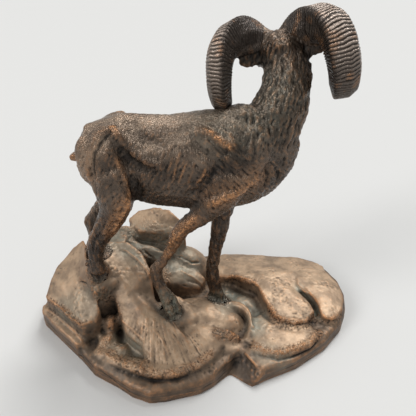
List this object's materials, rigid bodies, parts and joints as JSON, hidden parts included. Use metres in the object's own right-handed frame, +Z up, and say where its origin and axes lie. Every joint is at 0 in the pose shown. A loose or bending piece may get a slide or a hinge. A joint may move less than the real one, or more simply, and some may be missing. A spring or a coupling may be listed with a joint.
{
  "type": "figurine",
  "caption": "Bronze figure of a bighorn ram on a rugged rock, its head turned away over its far side, cast in one piece with its flat base",
  "frame": {"origin": "the centre of the figure's bounding box, at the level of the flat underside", "axes": "+X is the way the ram's body faces and the base's long direction, +Y is towards its left side, over which it turns its head, and +Z is up"},
  "size_m": [0.2574, 0.1452, 0.2376],
  "materials": {
    "patinated_bronze": "satin"
  },
  "bodies": {
    "root": {"ram_figurine": "patinated_bronze"}
  },
  "joints": []
}
